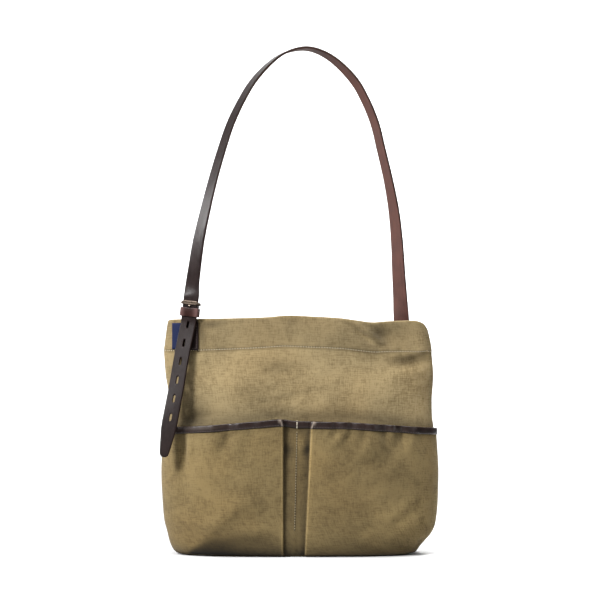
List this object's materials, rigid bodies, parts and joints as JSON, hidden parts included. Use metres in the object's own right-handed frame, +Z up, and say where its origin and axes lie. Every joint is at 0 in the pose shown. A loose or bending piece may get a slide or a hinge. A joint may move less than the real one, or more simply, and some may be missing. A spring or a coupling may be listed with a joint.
{
  "type": "canvas shoulder bag",
  "caption": "Soft canvas shoulder bag with an open mouth, two front patch pockets divided by an inverted pleat, leather edging, and one slotted leather strap with a side buckle",
  "frame": {"origin": "centre of the flat base the bag stands on", "axes": "+X to the wearer's right when the pockets face the viewer, +Y from the pockets to the back, +Z up"},
  "size_m": [0.3684, 0.0967, 0.6718],
  "materials": {
    "canvas": "dry waxed cotton canvas, mottled olive tan",
    "pocket_canvas": "dry waxed cotton canvas, mottled olive tan",
    "leather_binding": "thin dark brown leather, slightly glossy",
    "label": "plain navy woven tape",
    "leather_tab": "dark brown leather",
    "metal": "dulled brass",
    "metal_prong": "dulled brass",
    "leather_brown": "reddish brown leather, polished",
    "leather_dark": "very dark brown bridle leather, soft sheen"
  },
  "bodies": {
    "root": {"bag_body": "canvas", "pocket_panel": "pocket_canvas", "pocket_binding": "leather_binding", "label": "label", "chape": "leather_tab", "buckle_frame": "metal", "buckle_prong": "metal_prong", "keeper": "leather_brown", "strap": "leather_dark"}
  },
  "joints": []
}
